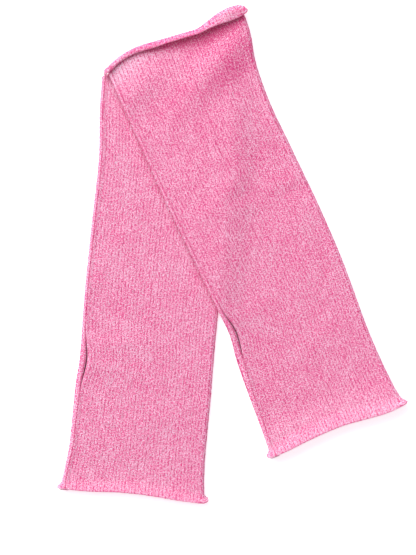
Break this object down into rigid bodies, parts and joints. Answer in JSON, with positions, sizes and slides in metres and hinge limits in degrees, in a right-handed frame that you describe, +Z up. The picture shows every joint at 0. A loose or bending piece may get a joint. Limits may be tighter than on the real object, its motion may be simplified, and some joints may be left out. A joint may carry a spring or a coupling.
{
  "type": "pair of knitted arm warmers",
  "caption": "Knitted arm warmers in pink marl wool, laid flat with one crossed over the other, each a tube with a thumb slit and self-rolling ends.",
  "frame": {"origin": "bottom centre of the bounding box, on the surface that the pair lies on", "axes": "+Z up from the surface, +Y from the hand hems towards the elbow ends, +X towards the side of the upper arm warmer's hand hem"},
  "size_m": [0.2398, 0.3415, 0.0142],
  "materials": {
    "pink_marl_wool": "soft brushed marl knit, matt with a faint fibre sheen"
  },
  "bodies": {
    "root": {"under_arm_warmer": "pink_marl_wool", "over_arm_warmer": "pink_marl_wool"}
  },
  "joints": []
}
